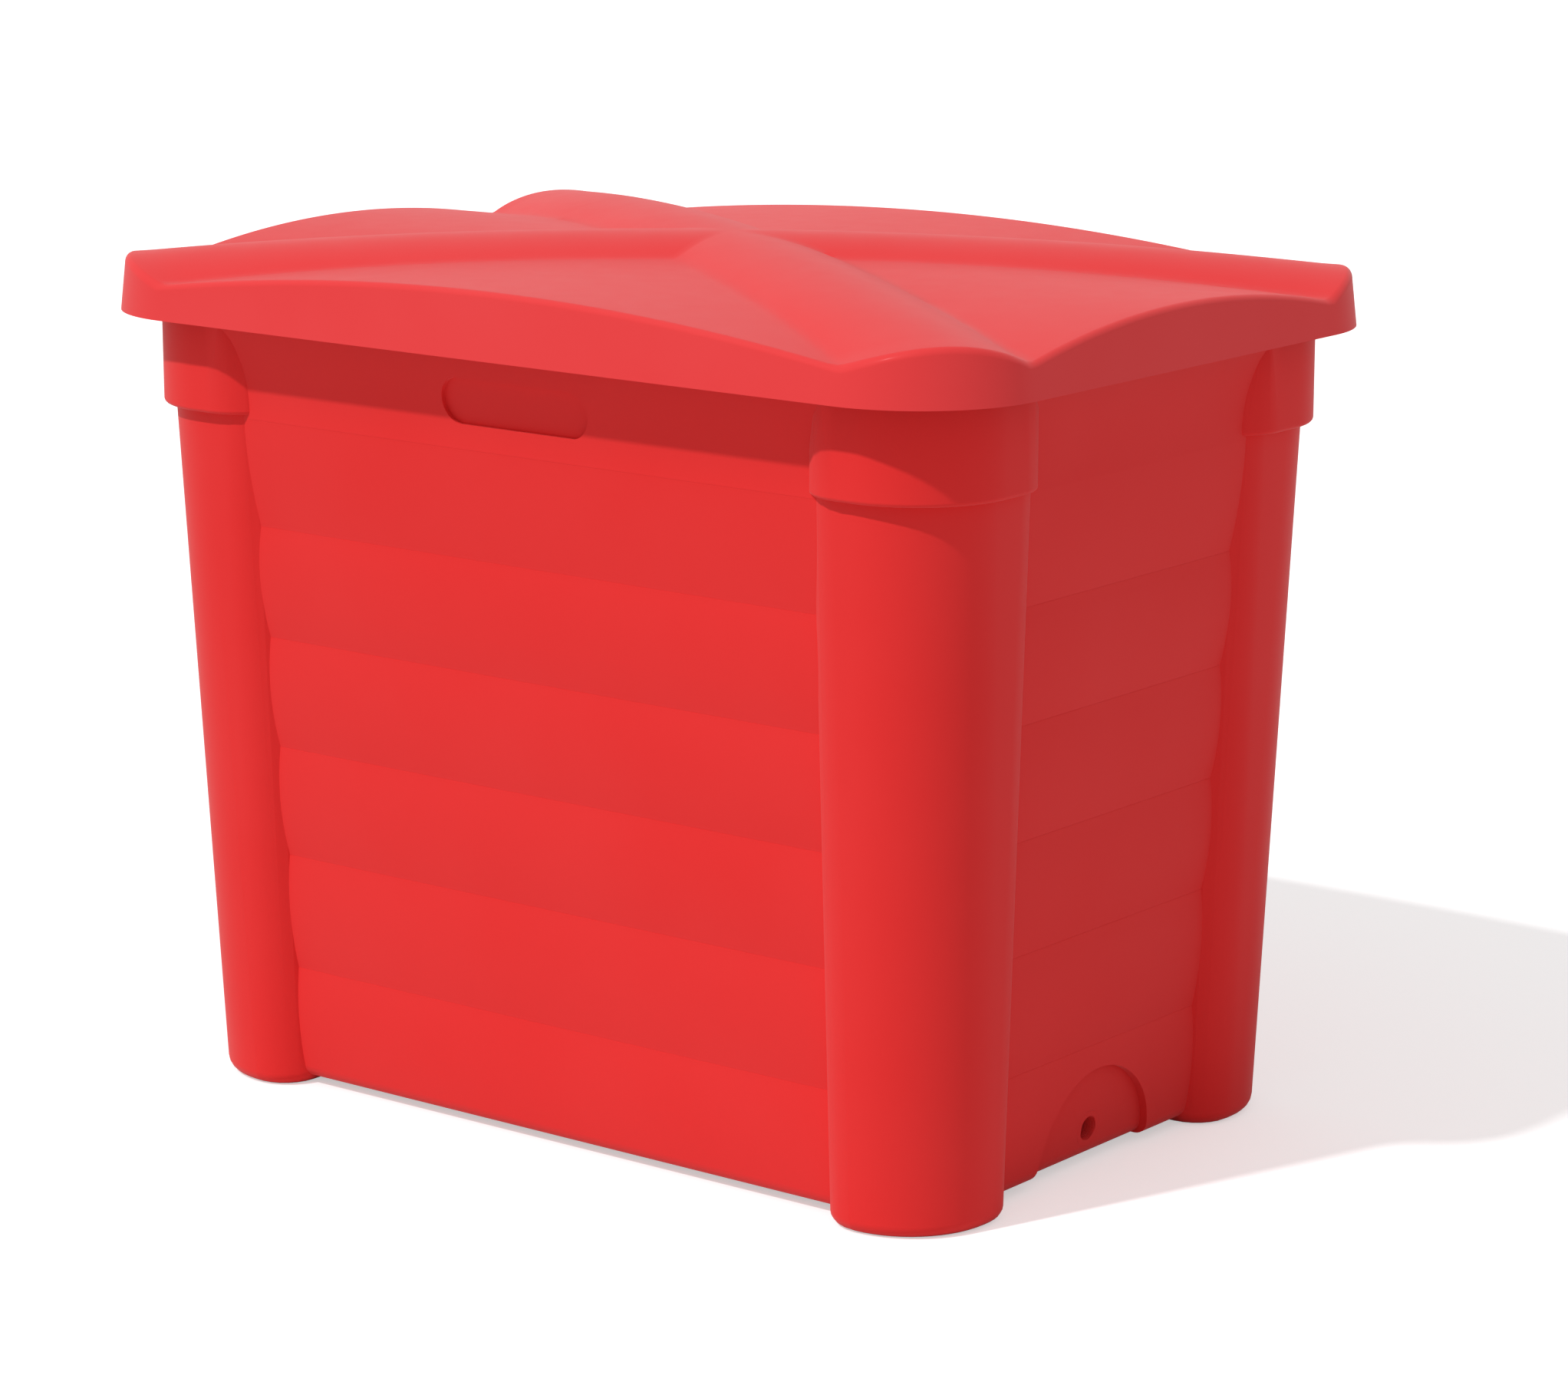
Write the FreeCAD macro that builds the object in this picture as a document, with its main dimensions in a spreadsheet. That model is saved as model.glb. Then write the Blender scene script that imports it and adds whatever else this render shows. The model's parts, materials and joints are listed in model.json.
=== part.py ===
# Grit salt bin: a moulded tub with corner posts and ribbed panels, under a hinged vaulted lid.
# Millimetres. The origin is the middle of the footprint, on the ground. +X runs along the front,
# +Y to the hinged back, +Z up.
import FreeCAD, Part
import os
import re
import Sketcher

Vector = FreeCAD.Vector
Rotation = FreeCAD.Rotation
Placement = FreeCAD.Placement
Constraint = Sketcher.Constraint

doc = FreeCAD.newDocument("grit_salt_bin")
sheet = doc.addObject("Spreadsheet::Sheet", "Sizes")

sizes = [
    # tub, from the ground up
    ("foot_height", 7.5, "gap under the floor, between the corner feet"),
    ("base_rib", 117.2, "height of the lowest rib of each panel"),
    ("lower_rib", 119.0, "height of the second rib"),
    ("rib_pitch", 112.7, "height of each rib above it"),
    ("collar_height", 93.5, "collar below the lid's skirt"),
    ("tub_wall", 6.0, "moulded wall"),
    ("floor_wall", 8.0, "moulded floor"),
    # tub in plan
    ("collar_length", 1009.0, "collar along X"),
    ("collar_depth", 683.0, "collar along Y"),
    ("collar_corner", 100.0, "round of the collar's corners"),
    ("cap_overhang", 23.0, "collar caps beyond the posts below them"),
    ("cap_edge", 12.0, "round of the caps' other edges"),
    ("post_length", 137.5, "posts along X, under the caps"),
    ("post_depth", 150.5, "posts along Y, under the caps"),
    ("post_corner", 54.0, "outer round of the corner posts"),
    ("post_edge", 24.0, "round of the posts beside the panels"),
    ("lean_x", 22.5, "how far the posts lean in along X, top to ground"),
    ("lean_y", 27.5, "how far the posts lean in along Y, top to ground"),
    ("foot_round", 10.0, "lower edge of the feet"),
    ("recess_low", 26.5, "rib valleys behind the post face at the floor"),
    ("recess_high", 7.0, "rib valleys behind the post face at the collar"),
    ("flush_recess", 3.0, "top of the ribs behind the post face"),
    ("ledge", 8.0, "ledge on top of each rib"),
    ("sill_round", 12.0, "lower edge of the panels"),
    # finger recess in the front collar
    ("pull_length", 180.0, "finger recess along X"),
    ("pull_height", 46.0, "finger recess along Z"),
    ("pull_sunk", 5.0, "finger recess below the collar's face"),
    ("pull_rise", 43.0, "middle of the recess above the collar's lower edge"),
    # drain at the right-hand end
    ("arch_radius", 93.0, "arched recess in the end panel"),
    ("arch_sunk", 8.5, "arched recess below the panel's face"),
    ("drain_rise", 29.5, "drain's axis above the panel's lower edge"),
    ("drain_bore", 24.0, "open bore of the bush"),
    ("bush_across", 36.0, "outside of the bush"),
    ("bush_length", 22.0, "bush behind the rib's valley line"),
    ("bush_gap", 0.1, "radial gap between bush and tub"),
    ("boss_margin", 10.0, "inner boss beyond the bush"),
    # lid
    ("lid_over_ends", 35.5, "lid beyond the collar at each end"),
    ("lid_over_front", 37.0, "lid beyond the collar at the front and the back"),
    ("lid_corner", 127.0, "round of the lid's corners in plan"),
    ("lid_wall", 5.0, "moulded wall"),
    ("skirt_height", 35.5, "skirt, up to the valleys at the rim"),
    ("skirt_flare", 4.0, "how far the skirt leans in over its height"),
    ("front_rise", 28.6, "front and back vaults above the valleys"),
    ("end_rise", 23.4, "end vaults above the valleys"),
    ("front_valley", 133.0, "valleys of the front and back vaults from the lid's ends"),
    ("end_valley", 143.5, "valleys of the end vaults from the lid's front and back"),
    ("end_slope", 8.1, "end vaults rise by this much from the rim to the middle"),
    ("crest_rise", 47.8, "crossing of the two crests above the valleys"),
    ("crest_arc", 6288.0, "radius along the crests"),
    ("crest_round", 155.0, "radius across the crests"),
    ("crest_aim", 79.4, "each crest aims at a point this far inside both skirts at its corner"),
    ("rim_gap", 0.5, "between the tub's rim and the lid's valleys"),
    # hinges
    ("hinge_spacing", 500.0, "between the two hinges"),
    ("leaf_thick", 3.0, "sheet of both leaves"),
    ("pin_across", 7.0, "hinge pin"),
    ("knuckle_wall", 3.0, "knuckle around the pin"),
    ("pin_gap", 0.05, "radial running gap on the pin"),
    ("knuckle_gap", 0.5, "between neighbouring knuckles"),
    ("inner_knuckle", 31.0, "middle knuckle, on the lid's leaf"),
    ("outer_knuckle", 22.0, "each outer knuckle, on the tub's leaf"),
    ("pin_head", 11.0, "riveted heads of the pin"),
    ("pin_head_thick", 2.0, "riveted heads of the pin"),
    ("lid_pad", 5.0, "moulded pad inside the skirt, at the skirt's lower edge"),
    ("axis_rise", 6.0, "hinge axis above the skirt's lower edge"),
    ("lid_leaf_back", 10.5, "hinge axis to the lid's inner pad"),
    ("tub_leaf_drop", 53.0, "tub leaf below the hinge axis"),
    ("lid_leaf_rise", 31.0, "lid leaf above the hinge axis"),
    ("pad_margin", 6.0, "moulded pads beyond the leaves"),
    ("pad_wall", 12.0, "tub wall behind the leaf"),
    # fasteners
    ("bolt_across", 6.0, "bolt thread"),
    ("bolt_spread", 44.0, "between the two bolts of a leaf"),
    ("tub_bolt_drop", 36.0, "tub bolts below the hinge axis"),
    ("lid_bolt_rise", 17.0, "lid bolts above the hinge axis"),
    ("head_across", 10.0, "hexagon of heads and nuts, across flats"),
    ("head_thick", 4.0, "bolt head"),
    ("nut_thick", 5.0, "nut"),
    ("washer_across", 12.5, "washer"),
    ("washer_thick", 1.5, "washer"),
    ("bolt_gap", 0.3, "radial gap around each bolt"),
    ("nut_gap", 0.05, "radial gap between bolt and nut"),
    ("bolt_tail", 2.0, "bolt beyond its nut"),
    ("lid_boss", 10.0, "radius of the moulded boss under each bolt head on the lid"),
    ("boss_inset", 0.5, "lid boss short of the skirt's lower edge"),
]
for row, (alias, value, note) in enumerate(sizes, start=1):
    sheet.set("A%d" % row, alias)
    sheet.set("B%d" % row, str(value))
    sheet.set("C%d" % row, note)
    sheet.setAlias("B%d" % row, alias)
doc.recompute()

# How many ribs stack up from the floor to the collar
rib_count = 6


def rib_top(rib):
    # Height of the ledge on top of a rib; the lowest is rib 1, and the last one's top is the collar.
    if rib == 1:
        return "(foot_height + base_rib)"
    return "(foot_height + base_rib + lower_rib + %d * rib_pitch)" % (rib - 2)


# Heights and places that follow from the sizes, as expressions of the sheet's words
collar_foot = rib_top(rib_count)
skirt_foot = "(%s + collar_height)" % collar_foot
valley = "(%s + skirt_height)" % skirt_foot
crest_top = "(%s + crest_rise)" % valley
above_lid = "(%s + crest_rise)" % crest_top
rim = "(%s - lid_wall - rim_gap)" % valley
above_rim = "(%s + tub_wall)" % rim
inside_floor = "(foot_height + floor_wall)"
shelf = "(%s + tub_wall)" % collar_foot
collar = {"x": "(collar_length / 2)", "y": "(collar_depth / 2)"}
panel_end = {"x": "(%s - cap_overhang - post_length)" % collar["x"],
             "y": "(%s - cap_overhang - post_depth)" % collar["y"]}
skirt = {"x": "(%s + lid_over_ends)" % collar["x"], "y": "(%s + lid_over_front)" % collar["y"]}
lid_pad_y = "(%s - lid_wall - lid_pad)" % skirt["y"]
axis_y = "(%s - lid_leaf_back)" % lid_pad_y
axis_z = "(%s + axis_rise)" % skirt_foot
lid_boss_y = "(%s - boss_inset)" % skirt["y"]
tub_bolt_z = "(%s - tub_bolt_drop)" % axis_z
lid_bolt_z = "(%s + lid_bolt_rise)" % axis_z
drain_z = "(foot_height + drain_rise)"
bolt_hole = "(bolt_across / 2 + bolt_gap)"
pin_bore = "(pin_across / 2 + pin_gap)"
half_leaf = "(inner_knuckle / 2 + knuckle_gap + outer_knuckle)"

aliases = {alias for alias, value, note in sizes}


def bound(text):
    # The same expression with every size looked up in the sheet.
    return re.sub("[a-z_]+", lambda word: ("Sizes." if word[0] in aliases else "") + word[0], text)


def number(text):
    return float(sheet.evalExpression(bound(text)))


def bind(thing, **links):
    for prop, text in links.items():
        thing.setExpression(prop, bound(text))
    return thing


def place(thing, turn, x, y, z):
    thing.Placement = Placement(Vector(), turn)
    for prop, text in (("x", x), ("y", y), ("z", z)):
        thing.setExpression("Placement.Base." + prop, bound(text))
    return thing


def feature(kind, name, **values):
    thing = doc.addObject(kind, name)
    for prop, value in values.items():
        setattr(thing, prop, value)
    return thing


# Turns of sketches and round bars
flat = Rotation()
upright_along_y = Rotation(Vector(1, 1, 1), 120)
upright_along_x = Rotation(Vector(1, 0, 0), 90)
to_right = Rotation(Vector(0, 1, 0), 90)
to_back = Rotation(Vector(1, 0, 0), -90)


def arc_between(start, end, centre_y):
    # The arc, anticlockwise, from start to end about a centre that lies at the given height.
    middle = (start + end) * 0.5
    chord = end - start
    centre = Vector(middle.x - chord.y * (centre_y - middle.y) / chord.x, centre_y, 0)
    circle = Part.Circle(centre, Vector(0, 0, 1), (start - centre).Length)
    return Part.ArcOfCircle(circle, circle.parameter(start), circle.parameter(end))


def fix(sketch, kind, geometry, point, text):
    index = sketch.addConstraint(Constraint(kind, geometry, point, number(text)))
    sketch.setExpression("Constraints[%d]" % index, bound(text))


def outline(name, corners, turn=flat, height="0"):
    # A closed sketch, anticlockwise. A corner is (x, y), or (x, y, centre height) where an arc starts.
    sketch = place(feature("Sketcher::SketchObject", name), turn, "0", "0", height)
    places = [Vector(number(corner[0]), number(corner[1]), 0) for corner in corners]
    for index, corner in enumerate(corners):
        start, end = places[index], places[(index + 1) % len(places)]
        if len(corner) == 2:
            sketch.addGeometry(Part.LineSegment(start, end))
        else:
            sketch.addGeometry(arc_between(start, end, number(corner[2])))
    for index, corner in enumerate(corners):
        following = (index + 1) % len(corners)
        sketch.addConstraint(Constraint("Coincident", index, 2, following, 1))
        fix(sketch, "DistanceX", index, 1, corner[0])
        fix(sketch, "DistanceY", index, 1, corner[1])
        if len(corner) == 3:
            fix(sketch, "DistanceY", index, 3, corner[2])
    return sketch


def extrusion(name, sketch, direction, length):
    solid = feature("Part::Extrusion", name, Base=sketch, DirMode="Custom", Dir=direction, Solid=True)
    return bind(solid, LengthFwd=length)


def loft(name, sketches):
    return feature("Part::Loft", name, Sections=sketches, Solid=True, Ruled=True)


def fuse(name, shapes):
    return feature("Part::MultiFuse", name, Shapes=shapes)


def cut(name, base, tool):
    return feature("Part::Cut", name, Base=base, Tool=tool)


def together(name, shapes):
    return feature("Part::Compound", name, Links=shapes)


def shapes_of(things):
    doc.recompute()
    return [thing.Shape.Solids[0] if len(thing.Shape.Solids) == 1 else thing.Shape for thing in things]


def melt(things):
    # One shape of several moulded pieces.
    first, *others = shapes_of(things)
    return first.fuse(others)


def whole(quarter):
    # All four quarters of something that is alike on both sides of X and of Y.
    half = quarter.Solids[0].fuse(quarter.Solids[0].mirror(Vector(), Vector(1, 0, 0)))
    return half.Solids[0].fuse(half.Solids[0].mirror(Vector(), Vector(0, 1, 0))).Solids[0]


def moulded(name, shape):
    return feature("Part::Feature", name, Shape=shape.removeSplitter())


def block(name, x, y, z):
    # A box between two places along each axis.
    box = doc.addObject("Part::Box", name)
    lengths = ["%s - (%s)" % (high, low) for low, high in (x, y, z)]
    bind(box, Length=lengths[0], Width=lengths[1], Height=lengths[2])
    return place(box, flat, x[0], y[0], z[0])


def rod(name, radius, length, turn, x, y, z):
    bar = bind(doc.addObject("Part::Cylinder", name), Radius=radius, Height=length)
    return place(bar, turn, x, y, z)


def hexagon(name, length, x, y, z):
    # A hexagonal prism that runs to the back.
    bar = feature("Part::Prism", name, Polygon=6)
    bind(bar, Circumradius="head_across / sqrt(3)", Height=length)
    return place(bar, to_back, x, y, z)


def round_edges(name, base, radius, wanted):
    doc.recompute()
    picked = [i for i, edge in enumerate(base.Shape.Edges, start=1) if wanted(edge)]
    sizes_of_ends = (number(radius), number(radius))
    return feature("Part::Fillet", name, Base=base, Edges=[(i,) + sizes_of_ends for i in picked])


# Tub: one quarter of the outside and of the hollow, then mirrored


def post_face(axis, height):
    # Where the posts' outer face stands at a height: they lean in towards the ground.
    return "(%s - cap_overhang - lean_%s * (1 - %s / %s))" % (collar[axis], axis, height, collar_foot)


def valley_face(axis, height):
    share = "((%s - foot_height) / (%s - foot_height))" % (height, collar_foot)
    return "(%s - recess_low - (recess_high - recess_low) * %s)" % (post_face(axis, height), share)


def ribbed_section(axis):
    # Each rib is an arc that stands upright at the ledge on its top, and so is the collar.
    sill = valley_face(axis, "foot_height")
    sill_top = "(foot_height + sill_round)"
    corners = [("0", "foot_height"), (sill + " - sill_round", "foot_height", sill_top)]
    corners.append((sill, sill_top, rib_top(1)))
    for rib in range(1, rib_count):
        top = rib_top(rib)
        corners.append((valley_face(axis, top) + " + ledge", top))
        corners.append((valley_face(axis, top), top, rib_top(rib + 1)))
    corners.append((post_face(axis, collar_foot) + " - flush_recess", collar_foot, skirt_foot))
    corners.append((collar[axis], skirt_foot))
    return corners + [(collar[axis], rim), ("0", rim)]


def hollow_section(axis):
    # Straight behind the ribs, curved behind the collar.
    low = (valley_face(axis, inside_floor) + " - tub_wall", inside_floor)
    knee = (valley_face(axis, collar_foot) + " - tub_wall", collar_foot, skirt_foot)
    shoulder = collar[axis] + " - tub_wall"
    return [("0", inside_floor), low, knee, (shoulder, skirt_foot), (shoulder, above_rim), ("0", above_rim)]


def panels(name, section, reach):
    # The front wall's and the end wall's sections, each drawn out to its post and a little into it.
    front = outline(name + "_front_section", section("y"), upright_along_y)
    end = outline(name + "_end_section", section("x"), upright_along_x)
    return [extrusion(name + "_front", front, Vector(1, 0, 0), "%s + %s" % (panel_end["x"], reach)),
            extrusion(name + "_end", end, Vector(0, 1, 0), "%s + %s" % (panel_end["y"], reach))]


def corner_plan(name, sides, inset, corner, edge, height):
    # Plan of one post: square at the corner that is hidden inside, rounded at the other three.
    x0, y0 = ["(%s + %s)" % (panel_end[axis], inset) for axis in "xy"]
    x, y = ["(%s - %s)" % (side, inset) for side in sides]
    corners = [(x0, y0), ("%s - %s" % (x, edge), y0, "%s + %s" % (y0, edge))]
    corners += [(x, "%s + %s" % (y0, edge)), (x, "%s - %s" % (y, corner), "%s - %s" % (y, corner))]
    corners += [("%s - %s" % (x, corner), y), ("%s + %s" % (x0, edge), y, "%s - %s" % (y, edge))]
    return outline(name, corners + [(x0, "%s - %s" % (y, edge))], flat, height)


def post(name, bottom, top, inset):
    plans = []
    for height in (bottom, top):
        faces = [post_face(axis, height) for axis in "xy"]
        plans.append(corner_plan(name + "_plan", faces, inset, "(post_corner - %s)" % inset,
                                 "(post_edge - %s)" % inset, height))
    return loft(name, plans)


def cap(name, bottom, top, inset):
    faces = [collar[axis] for axis in "xy"]
    sketch = corner_plan(name + "_plan", faces, inset, "(collar_corner - %s)" % inset, "cap_edge", bottom)
    return extrusion(name, sketch, Vector(0, 0, 1), "%s - %s" % (top, bottom))


def lower_rim(height):
    # Edges round a post's lower face, without the two that meet at its hidden corner.
    level, x0, y0 = number(height), number(panel_end["x"]), number(panel_end["y"])

    def wanted(edge):
        ends = [vertex.Point for vertex in edge.Vertexes]
        hidden = any(abs(end.x - x0) < 0.01 and abs(end.y - y0) < 0.01 for end in ends)
        return all(abs(end.z - level) < 0.01 for end in ends) and not hidden

    return wanted


foot = round_edges("foot", post("post", "0", shelf, "0"), "foot_round", lower_rim("0"))
cap_outside = round_edges("cap_outside", cap("cap", collar_foot, rim, "0"), "0.8 * cap_edge",
                          lower_rim(collar_foot))
tub_outside = whole(melt(panels("panel", ribbed_section, "tub_wall") + [foot, cap_outside]))
post_hollow = post("post_hollow", inside_floor, shelf, "tub_wall")
cap_hollow = cap("cap_hollow", shelf, above_rim, "tub_wall")
hollow_panels = panels("hollow", hollow_section, "(tub_wall + ledge)")
tub_hollow = whole(melt(hollow_panels + [post_hollow, cap_hollow]))


# Dents of even depth: the wall is moved inwards behind an outline, inside as well as outside


def dent(hole, backing, direction, depth):
    # What is cut from the outside, and what stays of the hollow behind it.
    shift = direction * number(depth)
    hole, backing = shapes_of([hole, backing])
    return hole.cut(tub_outside.translated(shift)), backing.cut(tub_hollow.translated(shift))


front_y = "(-%s)" % collar["y"]
dent_reach = "(3 * cap_overhang)"
pull_z = "(%s + pull_rise)" % collar_foot


def slot(name, margin):
    # A bar with round ends, lying along X, that reaches through the front of the collar.
    middle = "((pull_length - pull_height) / 2)"
    half = "(pull_height / 2 + %s)" % margin
    y = ("%s - pull_sunk" % front_y, "%s + %s" % (front_y, dent_reach))
    z = ("%s - %s" % (pull_z, half), "%s + %s" % (pull_z, half))
    bars = [block(name + "_middle", ("-" + middle, middle), y, z)]
    end_length = dent_reach + " + pull_sunk"
    for side in ("-", ""):
        bars.append(rod(name + "_end", half, end_length, to_back, side + middle, y[0], pull_z))
    return fuse(name, bars)


pull_slots = slot("pull_slot", "0"), slot("pull_pad", "tub_wall")
pull_cut, pull_backing = dent(*pull_slots, Vector(0, 1, 0), "pull_sunk")

arch_x = "(%s - %s)" % (valley_face("x", "foot_height"), dent_reach)
arches = [rod("arch", "arch_radius + %s" % margin, "2 * " + dent_reach, to_right, arch_x, "0", "foot_height")
          for margin in ("0", "tub_wall")]
arch_cut, arch_backing = dent(arches[0], arches[1], Vector(-1, 0, 0), "arch_sunk")

# Drain bush, set in a boss behind the arch and cut flush with the arch's face
bush_x = "(%s - bush_length)" % valley_face("x", drain_z)
bush_reach = "(bush_length + %s)" % dent_reach


def drain_rod(name, radius):
    return rod(name, radius, bush_reach, to_right, bush_x, "0", drain_z)


drain_boss = drain_rod("drain_boss", "bush_across / 2 + bush_gap + boss_margin")
drain_hole = drain_rod("drain_hole", "bush_across / 2 + bush_gap")
bush_outside = drain_rod("bush_outside", "bush_across / 2")
bush_bar = cut("bush_bar", bush_outside, drain_rod("bush_bore", "drain_bore / 2"))
arch_face = tub_outside.translated(Vector(-number("arch_sunk"), 0, 0))
drain_bush = moulded("drain_bush", shapes_of([bush_bar])[0].common(arch_face))

# Hinges: two alike, each a leaf on the tub, a leaf in the lid and a pin

hinges = {"left": "(-hinge_spacing / 2)", "right": "(hinge_spacing / 2)"}


def across(x, half):
    return "%s - %s" % (x, half), "%s + %s" % (x, half)


def bolt_places():
    return ["(%s %s bolt_spread / 2)" % (x, side) for x in hinges.values() for side in "-+"]


def bolt_holes(name, y, length, z):
    return [rod(name, bolt_hole, length, to_back, x, y, z) for x in bolt_places()]


pad_half = "(%s + pad_margin)" % half_leaf
sheet_below = "(%s - leaf_thick / 2)" % axis_z
sheet_above = "(%s + leaf_thick / 2)" % axis_z
tub_leaf_y = (collar["y"], "%s + leaf_thick" % collar["y"])
lid_leaf_y = ("(%s - leaf_thick)" % lid_pad_y, lid_pad_y)
pad_y = "(%s - pad_wall)" % collar["y"]
past_middle = "(inner_knuckle / 2 + knuckle_gap)"


def knuckle(name, x, length):
    return rod(name, pin_bore + " + knuckle_wall", length, to_right, x, axis_y, axis_z)


def leaf(name, plates, knuckles, x, bolt_y, bolt_z):
    start = "%s - %s" % (x, half_leaf)
    bore = rod(name + "_bore", pin_bore, "2 * " + half_leaf, to_right, start, axis_y, axis_z)
    bolts_x = ["%s %s bolt_spread / 2" % (x, side) for side in "-+"]
    holes = [rod(name + "_hole", bolt_hole, "leaf_thick", to_back, bolt_x, bolt_y, bolt_z)
             for bolt_x in bolts_x]
    return cut(name, fuse(name + "_sheet", plates + knuckles), together(name + "_holes", [bore] + holes))


def tub_leaf(name, x):
    # Upright on the collar, with two webs that lead level to the outer knuckles.
    heights = ("%s - tub_leaf_drop" % axis_z, sheet_above)
    plates = [block(name + "_plate", across(x, half_leaf), tub_leaf_y, heights)]
    knuckles = []
    for start in ("%s - %s" % (x, half_leaf), "%s + %s" % (x, past_middle)):
        span = (start, "%s + outer_knuckle" % start)
        plates.append(block(name + "_web", span, (collar["y"], axis_y), (sheet_below, sheet_above)))
        knuckles.append(knuckle(name + "_knuckle", start, "outer_knuckle"))
    return leaf(name, plates, knuckles, x, collar["y"], tub_bolt_z)


def lid_leaf(name, x):
    # Upright inside the skirt, with one web that leads level to the middle knuckle.
    heights = (sheet_below, "%s + lid_leaf_rise" % axis_z)
    middle = across(x, "inner_knuckle / 2")
    plates = [block(name + "_plate", across(x, half_leaf), lid_leaf_y, heights)]
    plates.append(block(name + "_web", middle, (axis_y, lid_pad_y), (sheet_below, sheet_above)))
    knuckles = [knuckle(name + "_knuckle", middle[0], "inner_knuckle")]
    return leaf(name, plates, knuckles, x, lid_leaf_y[0], lid_bolt_z)


def hinge_pin(name, x):
    # A plain pin with a flat riveted head at each end, just off the knuckles.
    start = "%s - %s - knuckle_gap" % (x, half_leaf)
    pin_length = "2 * (%s + knuckle_gap)" % half_leaf
    bars = [rod(name + "_shank", "pin_across / 2", pin_length, to_right, start, axis_y, axis_z)]
    for head in (start + " - pin_head_thick", start + " + " + pin_length):
        bars.append(rod(name + "_head", "pin_head / 2", "pin_head_thick", to_right, head, axis_y, axis_z))
    return fuse(name, bars)


# Fasteners: every bolt runs along Y, with its head outside and its washer and nut inside


def bolt(name, seat_y, nut_y, x, z):
    tail = "(%s - nut_thick - bolt_tail)" % nut_y
    shank = rod(name + "_shank", "bolt_across / 2", "%s - %s" % (seat_y, tail), to_back, x, tail, z)
    return fuse(name, [hexagon(name + "_head", "head_thick", x, seat_y, z), shank])


def washer(name, y, x, z):
    disc = rod(name + "_disc", "washer_across / 2", "washer_thick", to_back, x, "%s - washer_thick" % y, z)
    hole = rod(name + "_hole", bolt_hole, "washer_thick", to_back, x, "%s - washer_thick" % y, z)
    return cut(name, disc, hole)


def nut(name, y, x, z):
    back = "%s - nut_thick" % y
    body = hexagon(name + "_body", "nut_thick", x, back, z)
    thread = rod(name + "_thread", "bolt_across / 2 + nut_gap", "nut_thick", to_back, x, back, z)
    return cut(name, body, thread)


def fasteners(name, seat_y, inner_y, z):
    # Four bolts through two leaves, from their outer seat to the face that their washers lie on.
    nut_y = "(%s - washer_thick)" % inner_y
    bolts = [bolt(name + "_bolt", seat_y, nut_y, x, z) for x in bolt_places()]
    washers = [washer(name + "_washer", inner_y, x, z) for x in bolt_places()]
    nuts = [nut(name + "_nut", nut_y, x, z) for x in bolt_places()]
    return {name + "_bolts": together(name + "_bolts", bolts),
            name + "_washers": together(name + "_washers", washers),
            name + "_nuts": together(name + "_nuts", nuts)}


# Tub: the shell with its dents, the drain's boss and the pads behind the hinges

pad_heights = ("%s - tub_leaf_drop - pad_margin" % axis_z, "%s + pad_margin" % axis_z)
tub_pads = shapes_of([block("tub_pad", across(x, pad_half), (pad_y, collar["y"]), pad_heights)
                      for x in hinges.values()])
tub_holes = bolt_holes("tub_bolt_hole", pad_y, "pad_wall", tub_bolt_z)
tub_space = tub_hollow.cut([pull_backing, arch_backing] + tub_pads + shapes_of([drain_boss]))
tub_solid = tub_outside.fuse(tub_pads).cut([pull_cut, arch_cut, tub_space])
tub = moulded("tub", tub_solid.cut(shapes_of([drain_hole] + tub_holes)))

# Lid: under a flared rounded box, the highest of two vaults and a round crest on each diagonal


def lid_plan(name, inset, height):
    # A quarter of the lid's plan at a height, leaning in as the skirt does.
    lean = "skirt_flare * (%s - %s) / skirt_height" % (height, skirt_foot)
    x, y = ["(%s - %s - %s)" % (skirt[axis], inset, lean) for axis in "xy"]
    corner = "(lid_corner - %s - %s)" % (inset, lean)
    corners = [("0", "0"), (x, "0"), (x, "%s - %s" % (y, corner), "%s - %s" % (y, corner))]
    return outline(name, corners + [("%s - %s" % (x, corner), y), ("0", y)], flat, height)


def vault_radius(half_span, rise):
    return "((%s^2 + %s^2) / (2 * %s))" % (half_span, rise, rise)


def lid_quarter(name, inset):
    box = loft(name + "_box", [lid_plan(name + "_plan", inset, height) for height in (skirt_foot, above_lid)])
    radius = vault_radius("(%s - front_valley)" % skirt["x"], "front_rise")
    front = rod(name + "_front_vault", "%s - %s" % (radius, inset), skirt["y"], to_back,
                "0", "0", "%s + front_rise - %s" % (valley, radius))
    radius = vault_radius("(%s - end_valley)" % skirt["y"], "end_rise")
    slope = "atan(end_slope / %s)" % skirt["x"]
    end = rod(name + "_end_vault", "%s - %s" % (radius, inset), "2 * " + skirt["x"], to_right,
              "0", "0", "%s + end_rise + end_slope - %s" % (valley, radius))
    end.setExpression("Placement.Rotation.Angle", bound("90 deg + " + slope))
    crest = doc.addObject("Part::Torus", name + "_crest")
    bind(crest, Radius1="crest_arc - crest_round", Radius2="crest_round - %s" % inset)
    place(crest, Rotation(Vector(1, 0, 0), 90), "0", "0", "%s - crest_arc" % crest_top)
    crest.setExpression("Placement.Rotation.Axis.x", bound("%s - crest_aim" % skirt["x"]))
    crest.setExpression("Placement.Rotation.Axis.y", bound("%s - crest_aim" % skirt["y"]))
    return melt([front, end, crest]).common(shapes_of([box])[0])


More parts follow.
